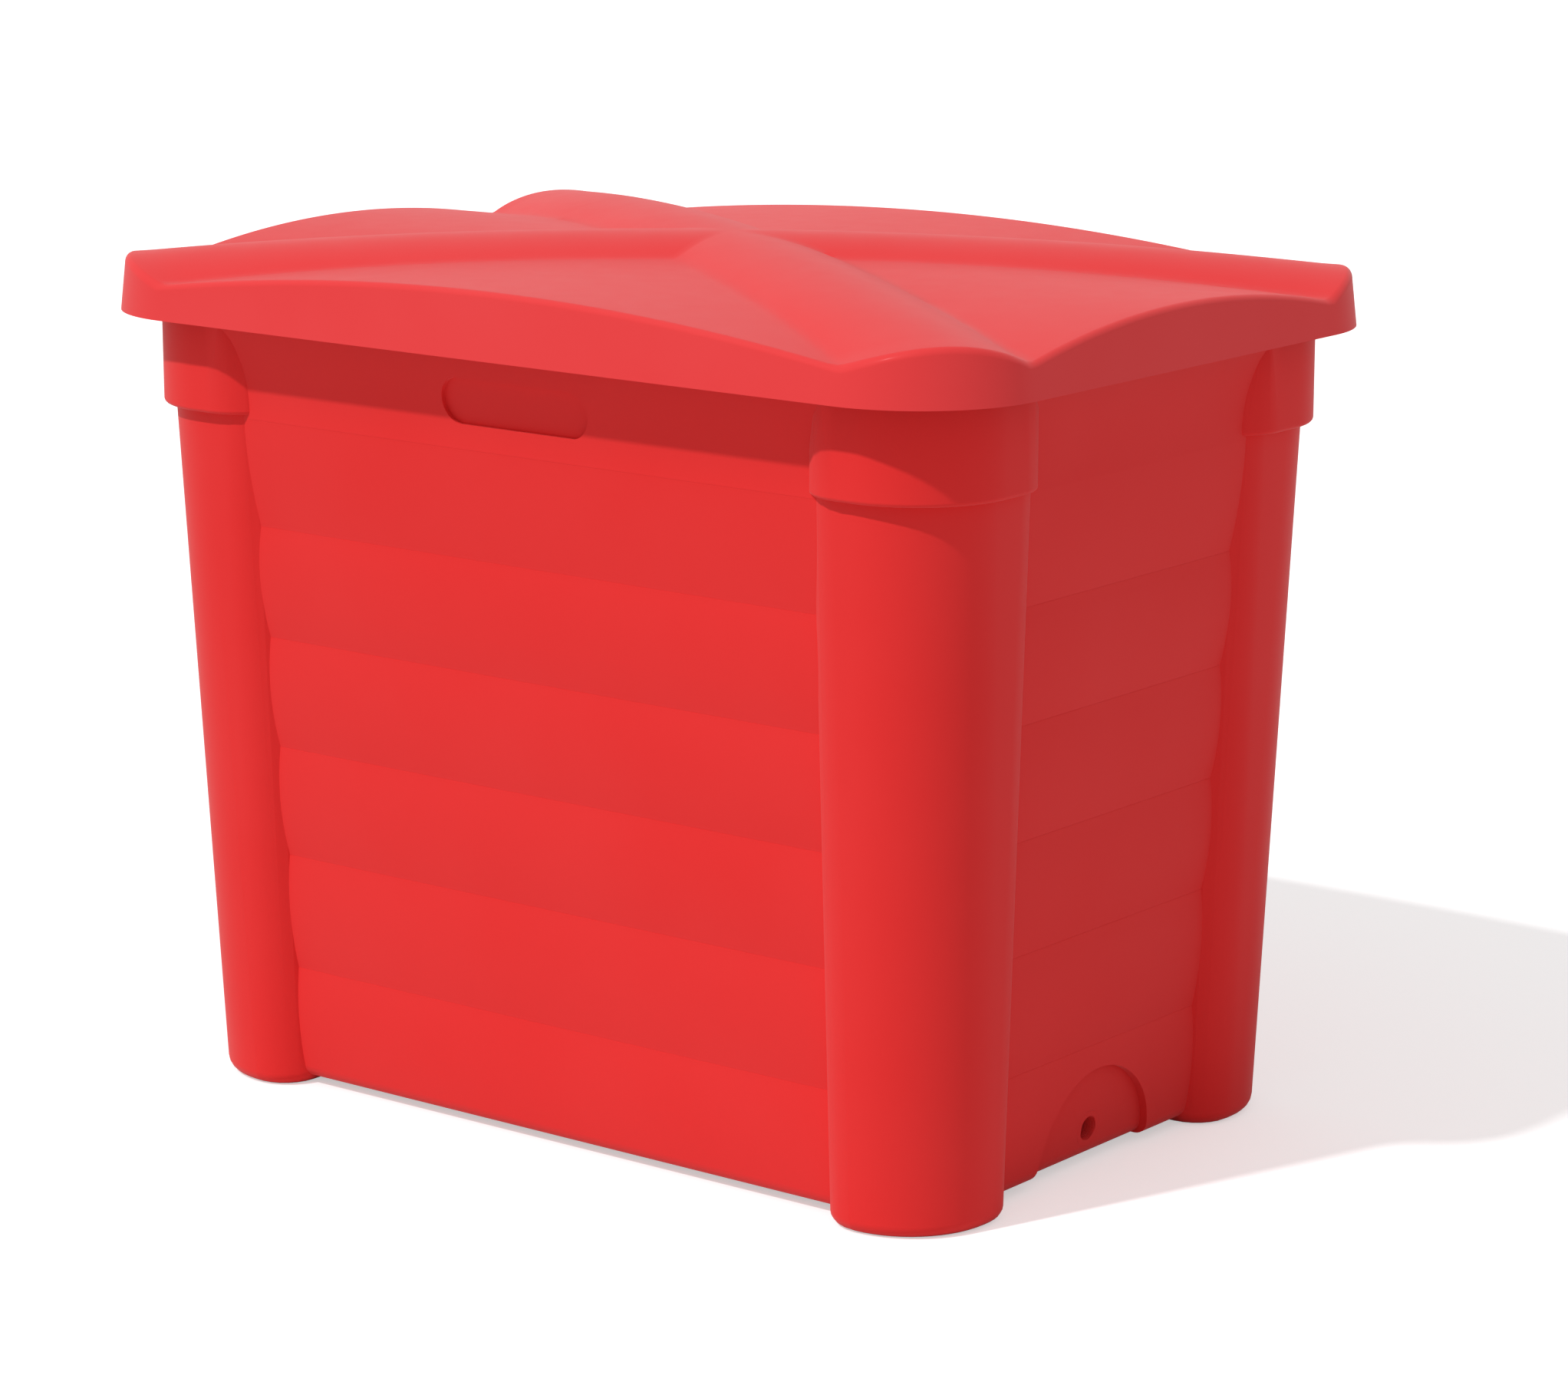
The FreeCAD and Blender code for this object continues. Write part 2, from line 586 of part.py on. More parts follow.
lid_outside = whole(lid_quarter("lid_outer", "0"))
lid_hollow = whole(lid_quarter("lid_inner", "lid_wall"))
lid_pad_heights = (skirt_foot, "%s + lid_leaf_rise + pad_margin" % axis_z)
lid_pads = [block("lid_pad", across(x, pad_half), (lid_pad_y, skirt["y"]), lid_pad_heights)
            for x in hinges.values()]
boss_length = "%s - %s" % (lid_boss_y, lid_pad_y)
lid_bosses = [rod("lid_bolt_boss", "lid_boss", boss_length, to_back, x, lid_pad_y, lid_bolt_z)
              for x in bolt_places()]
lid_holes = bolt_holes("lid_bolt_hole", lid_pad_y, boss_length, lid_bolt_z)
lid_shell = lid_outside.cut(lid_hollow.cut(shapes_of(lid_pads)))
lid = moulded("lid", lid_shell.fuse(shapes_of(lid_bosses)).cut(shapes_of(lid_holes)))

nodes = {"tub": tub, "lid": lid, "drain_bush": drain_bush}
for side, x in hinges.items():
    nodes["hinge_tub_leaf_" + side] = tub_leaf("hinge_tub_leaf_" + side, x)
    nodes["hinge_lid_leaf_" + side] = lid_leaf("hinge_lid_leaf_" + side, x)
    nodes["hinge_pin_" + side] = hinge_pin("hinge_pin_" + side, x)
nodes.update(fasteners("tub_hinge", tub_leaf_y[1], pad_y, tub_bolt_z))
nodes.update(fasteners("lid_hinge", lid_boss_y, lid_leaf_y[0], lid_bolt_z))

doc.recompute()
for thing in doc.Objects:
    if "Invalid" in thing.State or "Error" in thing.State:
        raise RuntimeError("%s didn't build: %s" % (thing.Label, thing.State))

os.makedirs("parts", exist_ok=True)
for name, thing in nodes.items():
    thing.Label = name
    if thing.Shape.isNull() or not thing.Shape.isValid():
        raise RuntimeError("%s has no sound shape" % name)
for name, thing in nodes.items():
    thing.Shape.exportStep("parts/%s.step" % name)
    bounds = thing.Shape.BoundBox
    print("%-22s %2d solids %12.0f mm3  x %8.2f %8.2f  y %8.2f %8.2f  z %7.2f %7.2f" % (
        name, len(thing.Shape.Solids), thing.Shape.Volume, bounds.XMin, bounds.XMax,
        bounds.YMin, bounds.YMax, bounds.ZMin, bounds.ZMax))
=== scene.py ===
import bpy
import json
import math
from mathutils import Matrix, Vector


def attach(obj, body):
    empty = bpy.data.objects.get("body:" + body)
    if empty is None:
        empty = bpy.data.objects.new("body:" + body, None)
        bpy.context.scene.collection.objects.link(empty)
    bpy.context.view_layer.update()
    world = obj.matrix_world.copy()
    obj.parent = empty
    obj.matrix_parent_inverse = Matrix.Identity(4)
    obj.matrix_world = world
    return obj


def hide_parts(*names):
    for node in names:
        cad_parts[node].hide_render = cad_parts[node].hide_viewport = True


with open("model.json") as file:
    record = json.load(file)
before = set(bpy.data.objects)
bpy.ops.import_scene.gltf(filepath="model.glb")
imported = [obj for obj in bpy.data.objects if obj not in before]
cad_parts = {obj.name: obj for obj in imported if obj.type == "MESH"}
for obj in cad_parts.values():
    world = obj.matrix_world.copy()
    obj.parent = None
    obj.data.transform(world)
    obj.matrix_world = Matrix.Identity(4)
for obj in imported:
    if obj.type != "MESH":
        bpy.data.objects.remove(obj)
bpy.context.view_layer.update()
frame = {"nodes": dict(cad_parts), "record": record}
tiny = 0.00002  # closer than this is the same place
seam = 0.0001  # multiples of it keep the Booleans' faces out of one plane

# picking and shaping


def alone(piece):
    bpy.ops.object.select_all(action="DESELECT")
    piece.select_set(True)
    bpy.context.view_layer.objects.active = piece


def choose(piece, kind, wanted):
    # edit mode with only the wanted vertices, edges or faces picked
    alone(piece)
    bpy.ops.object.mode_set(mode="EDIT")
    bpy.ops.mesh.select_mode(type=kind)
    bpy.ops.mesh.select_all(action="DESELECT")
    bpy.ops.object.mode_set(mode="OBJECT")
    mesh = piece.data
    if kind == "VERT":
        for vertex in mesh.vertices:
            vertex.select = wanted(vertex.co)
    elif kind == "EDGE":
        for edge in mesh.edges:
            edge.select = wanted(*(mesh.vertices[i].co for i in edge.vertices))
    else:
        for face in mesh.polygons:
            face.select = wanted(face.center, face.normal)
    bpy.ops.object.mode_set(mode="EDIT")


def done():
    bpy.ops.object.mode_set(mode="OBJECT")


def roundOff(piece, radius, steps, wanted):
    # bevels the wanted edges into rounds
    choose(piece, "EDGE", wanted)
    bpy.ops.mesh.bevel(offset=radius, segments=steps, affect="EDGES")
    done()


def block(name, low, high):
    bpy.ops.object.select_all(action="DESELECT")
    middle = [(a + b) / 2 for a, b in zip(low, high)]
    bpy.ops.mesh.primitive_cube_add(size=1, location=middle, scale=[b - a for a, b in zip(low, high)])
    piece = bpy.context.object
    piece.name = name
    bpy.ops.object.transform_apply(location=True, rotation=True, scale=True)
    return piece


def bar(name, radius, start, length, along, sides):
    # a round bar from its start along X or Y
    bpy.ops.object.select_all(action="DESELECT")
    turn = (0, math.pi / 2, 0) if along == "x" else (-math.pi / 2, 0, 0)
    step = Vector((length / 2, 0, 0)) if along == "x" else Vector((0, length / 2, 0))
    bpy.ops.mesh.primitive_cylinder_add(vertices=sides, radius=radius, depth=length,
                                        location=Vector(start) + step, rotation=turn)
    piece = bpy.context.object
    piece.name = name
    bpy.ops.object.transform_apply(location=True, rotation=True, scale=True)
    return piece


def twin(piece, name, turn=None, flip=None, shift=None):
    # a copy with its own mesh, turned about Z, mirrored across X or Y, or moved
    copy = piece.copy()
    copy.data = piece.data.copy()
    copy.name = name
    bpy.context.scene.collection.objects.link(copy)
    if turn:
        copy.data.transform(Matrix.Rotation(math.radians(turn), 4, "Z"))
    if flip:
        copy.data.transform(Matrix.Diagonal((-1, 1, 1, 1) if flip == "x" else (1, -1, 1, 1)))
        copy.data.flip_normals()
    if shift:
        copy.data.transform(Matrix.Translation(shift))
    return copy


def carve(piece, tool, how="DIFFERENCE"):
    # cuts, joins or keeps what both share, and uses the tool up
    alone(piece)
    cut = piece.modifiers.new("carve", "BOOLEAN")
    cut.operation = how
    cut.object = tool
    cut.solver = "MANIFOLD"
    bpy.ops.object.modifier_apply(modifier=cut.name)
    bpy.data.objects.remove(tool)


def united(name, pieces):
    for piece in pieces[1:]:
        carve(pieces[0], piece, "UNION")
    pieces[0].name = name
    return pieces[0]


def shade(piece, degrees):
    # soft rounds and flat faces: big faces keep their own direction
    alone(piece)
    bpy.ops.object.shade_smooth_by_angle(angle=math.radians(degrees))
    weigh = piece.modifiers.new("weigh", "WEIGHTED_NORMAL")
    weigh.keep_sharp = True
    bpy.ops.object.modifier_apply(modifier=weigh.name)


# tub: sizes in metres, pairs are along X and along Y

tub = {
    "collar": (0.5045, 0.3415), "postTop": (0.4935, 0.3305), "lean": (0.0225, 0.0275),
    "panelEnd": (0.334, 0.158), "footHeight": 0.0075, "floor": 0.008, "wall": 0.006,
    "skirtFoot": 0.788, "rim": 0.818, "core": (0.420, 0.252), "coreTop": 0.810,
    "creases": (0.0075, 0.1247, 0.2437, 0.3564, 0.4691, 0.5818, 0.6945),
    "recessLow": 0.0305, "recessHigh": 0.011, "flush": 0.007, "ledge": 0.0002, "overlap": 0.004,
    "rib": {"past": 0.026, "wider": 0.0003, "deep": 0.020, "deeper": 0.0004, "rows": 9,
            "bulge": 0.0040, "topBulge": 0.0018, "end": 0.004, "sill": 0.012, "steps": 6},
    "band": {"past": 0.056, "deep": 0.0135, "rows": 26},
    "postCorner": 0.092, "postEdge": 0.044, "foot": 0.013,
    "capCorner": 0.100, "capEdge": 0.050, "capFoot": 0.004,
    "cornerSteps": 14, "edgeSteps": 6, "footSteps": 5, "smooth": 28,
    "hollow": {"past": 0.014, "rows": 9, "over": 0.050, "top": 0.8402, "archDrop": 0.001},
    "pull": {"length": 0.180, "height": 0.046, "sunk": 0.005, "z": 0.7375, "lip": 0.0022, "sides": 96,
             "from": -0.40, "to": -0.31, "toBehind": -0.29, "rim": (0.092, 0.026), "rimBefore": -0.3145},
    "arch": {"radius": 0.093, "sunk": 0.0085, "lip": 0.0035, "sides": 160,
             "from": 0.38, "to": 0.47, "rim": 0.001, "rimAfter": 0.420, "rimFoot": 0.003},
    "drain": {"z": 0.037, "inner": 0.4125, "boss": 0.0281, "bossLength": 0.04, "bossSides": 96,
              "hole": 0.0181, "from": 0.40, "length": 0.05, "sides": 72},
    "hinges": (-0.25, 0.25), "padHalf": 0.044, "padFoot": 0.735, "padTop": 0.800, "padBack": 0.3295,
    "padProud": 0.00003,
    "bolt": {"spread": 0.044, "z": 0.758, "from": 0.32, "length": 0.03, "hole": 0.0033, "sides": 24},
}
collarFoot = tub["creases"][-1]


def postFace(axis, z):
    return tub["postTop"][axis] - tub["lean"][axis] * (1 - z / collarFoot)


def valleyFace(axis, z):
    share = (z - tub["footHeight"]) / (collarFoot - tub["footHeight"])
    return postFace(axis, z) - tub["recessLow"] + (tub["recessLow"] - tub["recessHigh"]) * share


def bulgedReach(low, high, bulge):
    # reach between two (reach, height) places on an arc that bulges this much beyond their chord
    chord = Vector(high) - Vector(low)
    radius = (chord.length ** 2 / 4 + bulge ** 2) / (2 * bulge)
    middle = (Vector(high) + Vector(low)) / 2
    centre = middle - Vector((chord.y, -chord.x)).normalized() * (radius - bulge)
    return lambda z: centre.x + math.sqrt(radius ** 2 - (z - centre.y) ** 2)


def flaredReach(low, high):
    # reach on an arc that is upright at its lower place
    rise, out = high[1] - low[1], high[0] - low[0]
    radius = (out * out + rise * rise) / (2 * out)

    def reach(z):
        climb = min(max(0, z - low[1]), rise)
        return low[0] + radius - math.sqrt(radius * radius - climb * climb)
    return reach


def strip(name, half, low, high, reach, deep, rows):
    # a wall piece facing the front, with its face at reach(z) from the middle and a flat back
    back = min(reach(low), reach(high)) - deep
    piece = block(name, (-half, -reach(high), low), (half, -back, high))
    choose(piece, "EDGE", lambda a, b: abs(a.z - b.z) > tiny)
    bpy.ops.mesh.subdivide(number_cuts=rows - 1)
    done()
    for vertex in piece.data.vertices:
        if vertex.co.y < -back - tiny:
            vertex.co.y = -reach(vertex.co.z)
    return piece, back


def makeRib(axis, number):
    # each rib is a little wider and deeper than the one below, so that no two ends lie in one plane
    rib = tub["rib"]
    low, high = tub["creases"][number:number + 2]
    top, bulge = valleyFace(axis, high) + tub["ledge"], rib["bulge"]
    if high == collarFoot:
        top, bulge = postFace(axis, high) - tub["flush"], rib["topBulge"]
    reach = bulgedReach((valleyFace(axis, low), low), (top, high), bulge)
    half = tub["panelEnd"][1 - axis] + rib["past"] + rib["wider"] * number
    bottom = low if number == 0 else low - tub["overlap"]
    piece, back = strip("rib", half, bottom, high, reach, rib["deep"] + rib["deeper"] * number, rib["rows"])
    roundOff(piece, rib["end"], rib["steps"], lambda a, b: abs(a.z - b.z) > tiny and a.y < -back - tiny)
    if number == 0:
        roundOff(piece, rib["sill"], rib["steps"],
                 lambda a, b: max(a.z, b.z) < low + tiny and max(a.y, b.y) < -back - tiny)
    return piece


def makeCollar(axis):
    band = tub["band"]
    reach = flaredReach((postFace(axis, collarFoot) - tub["flush"], collarFoot),
                        (tub["collar"][axis], tub["skirtFoot"]))
    return strip("collar", tub["panelEnd"][1 - axis] + band["past"], collarFoot - tub["overlap"], tub["rim"],
                 reach, band["deep"], band["rows"])[0]


def capFace(axis, z):
    return tub["collar"][axis]


def cornerBlock(name, low, high, face, cornerRound, edgeRound, footRound, inset=0, apart=0):
    # a corner at the right-hand front, square only where it is hidden inside
    x0, y0 = tub["panelEnd"][0] + inset + apart, tub["panelEnd"][1] + inset + apart
    piece = block(name, (x0, -face(1, high) + inset, low), (face(0, high) - inset, -y0, high))
    for vertex in piece.data.vertices:
        if vertex.co.x > x0 + tiny:
            vertex.co.x = face(0, vertex.co.z) - inset
        if vertex.co.y < -y0 - tiny:
            vertex.co.y = -face(1, vertex.co.z) + inset

    def upright(a, b):
        return abs(a.z - b.z) > tiny

    roundOff(piece, cornerRound - inset, tub["cornerSteps"],
             lambda a, b: upright(a, b) and a.x > x0 + tiny and a.y < -y0 - tiny)
    roundOff(piece, edgeRound, tub["edgeSteps"],
             lambda a, b: upright(a, b) and (a.x < x0 + tiny) != (a.y > -y0 - tiny))
    if footRound:
        roundOff(piece, footRound, tub["footSteps"], lambda a, b: max(a.z, b.z) < low + tiny)
    return piece


def allCorners(piece):
    return [piece, twin(piece, "corner", turn=180), twin(piece, "corner", flip="x"),
            twin(piece, "corner", flip="y")]


def obround(name, margin, far):
    # the finger recess as a bar through the front, with round ends, up to far along Y
    pull = tub["pull"]
    bpy.ops.object.select_all(action="DESELECT")
    bpy.ops.mesh.primitive_cylinder_add(vertices=pull["sides"], radius=pull["height"] / 2 + margin,
                                        depth=far - pull["from"],
                                        location=(0, (pull["from"] + far) / 2, pull["z"]),
                                        rotation=(math.pi / 2, 0, 0))
    piece = bpy.context.object
    piece.name = name
    bpy.ops.object.transform_apply(location=True, rotation=True, scale=True)
    spread = (pull["length"] - pull["height"]) / 2
    for side in (-1, 1):
        choose(piece, "VERT", lambda p: p.x * side > tiny)
        bpy.ops.transform.translate(value=(side * spread, 0, 0))
        done()
    return piece


def onPull(place):
    # on the edge of the finger recess
    pull = tub["pull"]
    return (abs(place.x) < pull["rim"][0] and abs(place.z - pull["z"]) < pull["rim"][1]
            and place.y < pull["rimBefore"])


def onArch(place):
    # on the round edge of the drain's arch
    arch, up = tub["arch"], place.z - tub["footHeight"]
    return (abs(math.hypot(place.y, up) - arch["radius"]) < arch["rim"] and up > arch["rimFoot"]
            and place.x > arch["rimAfter"])


def dent(piece, cutter, shift, lip, onRim):
    # sinks the face inside the cutter's outline by the shift, with soft edges
    floor = twin(piece, "floor", shift=shift)
    carve(cutter, floor)
    carve(piece, cutter)
    alone(piece)
    bpy.ops.object.mode_set(mode="EDIT")
    bpy.ops.mesh.select_mode(type="EDGE")
    bpy.ops.mesh.select_all(action="DESELECT")
    bpy.ops.mesh.edges_select_sharp(sharpness=math.radians(40))
    done()
    for edge in piece.data.edges:
        edge.select = edge.select and all(onRim(piece.data.vertices[i].co) for i in edge.vertices)
    bpy.ops.object.mode_set(mode="EDIT")
    bpy.ops.mesh.bevel(offset=lip, segments=3, affect="EDGES", clamp_overlap=True)
    done()


def archDisc(name, margin):
    # a bar about the middle of the drain's arch
    arch = tub["arch"]
    start = (arch["from"], 0, tub["footHeight"])
    return bar(name, arch["radius"] + margin, start, arch["to"] - arch["from"], "x", arch["sides"])


def makeOutside():
    arch, pull, (coreX, coreY) = tub["arch"], tub["pull"], tub["core"]
    outside = [block("core", (-coreX, -coreY, tub["footHeight"]), (coreX, coreY, tub["coreTop"]))]
    for axis in (1, 0):
        for number in range(len(tub["creases"]) - 1):
            piece = makeRib(axis, number)
            if axis:
                outside += [twin(piece, "rib", turn=180), piece]
                continue
            right = twin(piece, "rib", turn=90)
            outside += [twin(piece, "rib", turn=-90), right]
            bpy.data.objects.remove(piece)
            if number == 0:
                sunk = (-arch["sunk"], 0, 0)
                archFloor = twin(right, "archFloor", shift=sunk)
                dent(right, archDisc("arch", 0), sunk, arch["lip"], onArch)
    print("tub: 24 ribs, one with the drain's arch")
    front = makeCollar(1)
    outside.append(twin(front, "collar", turn=180))
    end = makeCollar(0)
    outside += [twin(end, "collar", turn=90), twin(end, "collar", turn=-90)]
    bpy.data.objects.remove(end)
    dent(front, obround("pull", 0, pull["to"]), (0, pull["sunk"], 0), pull["lip"], onPull)
    outside.append(front)
    print("tub: collar with its finger recess")
    outside += allCorners(cornerBlock("post", 0, collarFoot + tub["wall"], postFace,
                                      tub["postCorner"], tub["postEdge"], tub["foot"]))
    outside += allCorners(cornerBlock("cap", collarFoot, tub["rim"] - 2 * seam, capFace,
                                      tub["capCorner"], tub["capEdge"], tub["capFoot"], apart=4 * seam))
    shell = united("tubSkin", outside)
    print("tub: outside,", len(shell.data.polygons), "faces")
    return shell, archFloor


def makeHollow():
    hollow, wall = tub["hollow"], tub["wall"]
    low = tub["footHeight"] + tub["floor"]
    pieces = []
    for axis in (1, 0):
        behind = flaredReach((valleyFace(axis, collarFoot) - wall, collarFoot),
                             (tub["collar"][axis] - wall, tub["skirtFoot"]))

        def inner(z):
            if z < collarFoot - tiny:
                return valleyFace(axis, z) - wall
            return behind(z)

        half, reach = tub["panelEnd"][1 - axis] + hollow["past"], inner(tub["rim"])
        piece = block("hollow", (-half, -reach, low + 2 * seam * axis), (half, reach, collarFoot))
        choose(piece, "FACE", lambda centre, normal: normal.z > 0.9)
        lifts = [(tub["skirtFoot"] - collarFoot) / hollow["rows"]] * hollow["rows"]
        for lift in lifts + [hollow["over"] + 5 * seam * axis]:
            bpy.ops.mesh.extrude_region_move(TRANSFORM_OT_translate={"value": (0, 0, lift)})
        done()
        for vertex in piece.data.vertices:
            vertex.co.y = math.copysign(inner(vertex.co.z), vertex.co.y)
        if axis == 0:
            piece.data.transform(Matrix.Rotation(math.pi / 2, 4, "Z"))
        pieces.append(piece)
    pieces += allCorners(cornerBlock("postHollow", low + 3 * seam, collarFoot + wall, postFace,
                                     tub["postCorner"], tub["postEdge"] - wall, 0, wall))
    pieces += allCorners(cornerBlock("capHollow", collarFoot + wall - 2 * seam, hollow["top"], capFace,
                                     tub["capCorner"], tub["capEdge"], 0, wall, 4 * seam))
    space = united("hollow", pieces)
    # the wall keeps its thickness behind both dents, and a boss stands round the drain
    arch, pull, drain = tub["arch"], tub["pull"], tub["drain"]
    behindArch = archDisc("behindArch", wall)
    carve(behindArch, twin(space, "moved", shift=(-arch["sunk"], 0, -hollow["archDrop"])))
    behindPull = obround("behindPull", wall, pull["toBehind"])
    carve(behindPull, twin(space, "moved", shift=(0, pull["sunk"], 0)))
    boss = bar("boss", drain["boss"], (drain["inner"], 0, drain["z"]), drain["bossLength"], "x",
               drain["bossSides"])
    for thicker in (behindArch, behindPull, boss):
        carve(space, thicker)
    return space


def makeTub():
    shell, archFloor = makeOutside()
    carve(shell, makeHollow())
    print("tub: hollow cut,", len(shell.data.polygons), "faces")
    bolt, drain = tub["bolt"], tub["drain"]
    for x in tub["hinges"]:
        pad = block("pad", (x - tub["padHalf"], tub["padBack"], tub["padFoot"]),
                    (x + tub["padHalf"], tub["collar"][1] + tub["padProud"], tub["padTop"]))
        carve(shell, pad, "UNION")
        for side in (-0.5, 0.5):
            place = (x + side * bolt["spread"], bolt["from"], bolt["z"])
            carve(shell, bar("hole", bolt["hole"], place, bolt["length"], "y", bolt["sides"]))
    carve(shell, bar("drainHole", drain["hole"], (drain["from"], 0, drain["z"]), drain["length"], "x",
                     drain["sides"]))
    print("tub: hinge pads and drain hole,", len(shell.data.polygons), "faces")
    shade(shell, tub["smooth"])
    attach(shell, "tub_body")
    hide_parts("tub")
    return shell, archFloor


bush = {
    "outer": 0.0180, "bore": 0.0120, "length": 0.030, "sides": 72, "smooth": 25,
    "before": 0.0005, "depth": 0.0008, "pitch": 0.0018, "turns": 15,
}


def makeBush(archFloor):
    # moulded-in bush, flush with the arch's floor, with ridges round its bore
    drain, sides = tub["drain"], bush["sides"]
    start = (drain["inner"], 0, drain["z"])
    piece = bar("drainBush", bush["outer"], start, bush["length"], "x", sides)
    first = drain["inner"] - bush["before"]
    thread = bar("thread", bush["bore"], (first, 0, drain["z"]), bush["pitch"] * bush["turns"], "x", sides)
    choose(thread, "EDGE", lambda a, b: abs(a.x - b.x) > bush["pitch"])
    bpy.ops.mesh.subdivide(number_cuts=2 * bush["turns"] - 1)
    done()
    # every second ring stands out
    choose(thread, "VERT", lambda p: round((p.x - first) / (bush["pitch"] / 2)) % 2 == 1)
    grow = 1 + bush["depth"] / bush["bore"]
    bpy.ops.transform.resize(value=(1, grow, grow), center_override=start)
    done()
    carve(piece, thread)
    carve(piece, archFloor, "INTERSECT")
    shade(piece, bush["smooth"])
    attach(piece, "tub_body")
    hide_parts("drain_bush")
    print("drain bush:", len(piece.data.polygons), "faces")
    return piece


tubSkin, archFloor = makeTub()
drainBush = makeBush(archFloor)

# lid

lid = {
    "half": (0.540, 0.3785), "corner": 0.127, "cornerSteps": 26, "foot": 0.788, "skirt": 0.010, "wall": 0.005,
    "cuts": (89, 53), "rimRound": 0.006, "rimSteps": 6, "rimIn": 0.005, "ringRise": 0.001,
    "rings": 12, "ringShare": 0.62, "span": 116, "offset": 72, "flare": 0.004 / 0.0355, "fade": 0.12,
    "valley": 0.8235, "frontVault": (0.407, 0.0286), "endVault": (0.235, 0.0234), "endSlope": 0.0081,
    "crestTop": 0.8713, "crestArc": 6.288, "crestRound": 0.155, "crestShare": 0.98,
    "crestAim": (0.4606, 0.2991), "blend": 0.0009,
    "padHalf": 0.044, "padFace": 0.3685, "padDeep": 0.006, "padTop": 0.831, "boltZ": 0.811, "holeOut": 0.01,
    "boss": {"radius": 0.010, "in": 0.002, "face": 0.378, "sides": 40}, "smooth": 35,
}


def vaultTop(half, rise, away):
    radius = (half * half + rise * rise) / (2 * rise)
    return rise - radius + math.sqrt(max(radius * radius - away * away, 0))


def lidTop(x, y):
    # the highest of two vaults and two crossing crests, with soft creases between them
    ax, ay = abs(x), abs(y)
    front = lid["valley"] + vaultTop(*lid["frontVault"], ax)
    end = lid["valley"] + vaultTop(*lid["endVault"], ay) + lid["endSlope"] * (1 - ax / lid["half"][0])
    aim = Vector(lid["crestAim"]).normalized()
    along, across = ax * aim.x + ay * aim.y, ax * aim.y - ay * aim.x
    across = min(abs(across), lid["crestRound"] * lid["crestShare"])
    crest = lid["crestTop"] - along ** 2 / (2 * lid["crestArc"])
    crest -= lid["crestRound"] - math.sqrt(lid["crestRound"] ** 2 - across ** 2)
    highest = max(front, end, crest)
    return highest + lid["blend"] * math.log(sum(math.exp((h - highest) / lid["blend"])
                                                 for h in (front, end, crest)))


def toSkirt(x, y):
    # how far a place lies inside the lid's outline, and which way the skirt is
    half, corner = lid["half"], lid["corner"]
    qx, qy = abs(x) - (half[0] - corner), abs(y) - (half[1] - corner)
    if qx > 0 and qy > 0:
        reach = math.hypot(qx, qy)
        normal = (math.copysign(qx / reach, x), math.copysign(qy / reach, y))
        return corner - reach, normal
    if half[0] - abs(x) < half[1] - abs(y):
        return half[0] - abs(x), (math.copysign(1, x), 0)
    return half[1] - abs(y), (0, math.copysign(1, y))


def lidRings():
    # a stepped skin, open below: each ring has its own height, and a grid fills the last
    (hx, hy), foot, steps = lid["half"], lid["foot"], lid["rimSteps"]
    skin = block("lidSkin", (-hx, -hy, foot), (hx, hy, foot + lid["skirt"]))
    roundOff(skin, lid["corner"], lid["cornerSteps"], lambda a, b: abs(a.z - b.z) > tiny)
    for axis, cuts in enumerate(lid["cuts"]):
        # only the long sides along this axis
        choose(skin, "EDGE", lambda a, b: abs(a[axis] - b[axis]) > lid["half"][1])
        bpy.ops.mesh.subdivide(number_cuts=cuts)
        done()
    choose(skin, "FACE", lambda centre, normal: normal.z < -0.9)
    bpy.ops.mesh.delete(type="FACE")
    done()
    choose(skin, "FACE", lambda centre, normal: normal.z > 0.9)
    insets = [lid["rimRound"] * (1 - math.cos(math.pi / 2 * k / steps)) for k in range(steps + 1)]
    for before, after in zip(insets, insets[1:]):
        bpy.ops.mesh.inset(thickness=after - before, use_even_offset=True)
        bpy.ops.transform.translate(value=(0, 0, lid["ringRise"]))
    shares = [1 - (1 - lid["ringShare"]) * k / lid["rings"] for k in range(lid["rings"] + 1)]
    for before, after in zip(shares, shares[1:]):
        bpy.ops.mesh.extrude_region_move(TRANSFORM_OT_translate={"value": (0, 0, lid["ringRise"])})
        bpy.ops.transform.resize(value=(after / before, after / before, 1), center_override=(0, 0, 0))
    bpy.ops.mesh.delete(type="FACE")
    done()
    top = max(vertex.co.z for vertex in skin.data.vertices)
    choose(skin, "EDGE", lambda a, b: min(a.z, b.z) > top - tiny)
    bpy.ops.mesh.fill_grid(span=lid["span"], offset=lid["offset"])
    done()
    return skin


def vaultLid(skin):
    # the lid's own heights for every ring, and a skirt that flares towards its foot
    flat, steps = lid["foot"] + lid["skirt"], lid["rimSteps"]
    for vertex in skin.data.vertices:
        x, y, z = vertex.co
        if z < flat - tiny:
            continue
        ring = round((z - flat) / lid["ringRise"])
        inside, (nx, ny) = toSkirt(x, y)
        if ring <= steps:
            rimTop = lidTop(x - nx * lid["rimIn"], y - ny * lid["rimIn"])
            z = rimTop - lid["rimRound"] * (1 - math.sin(math.pi / 2 * ring / steps))
        else:
            z = lidTop(x, y)
        lean = lid["flare"] * (z - lid["foot"]) * max(0, 1 - inside / lid["fade"])
        vertex.co = (x - nx * lean, y - ny * lean, z)


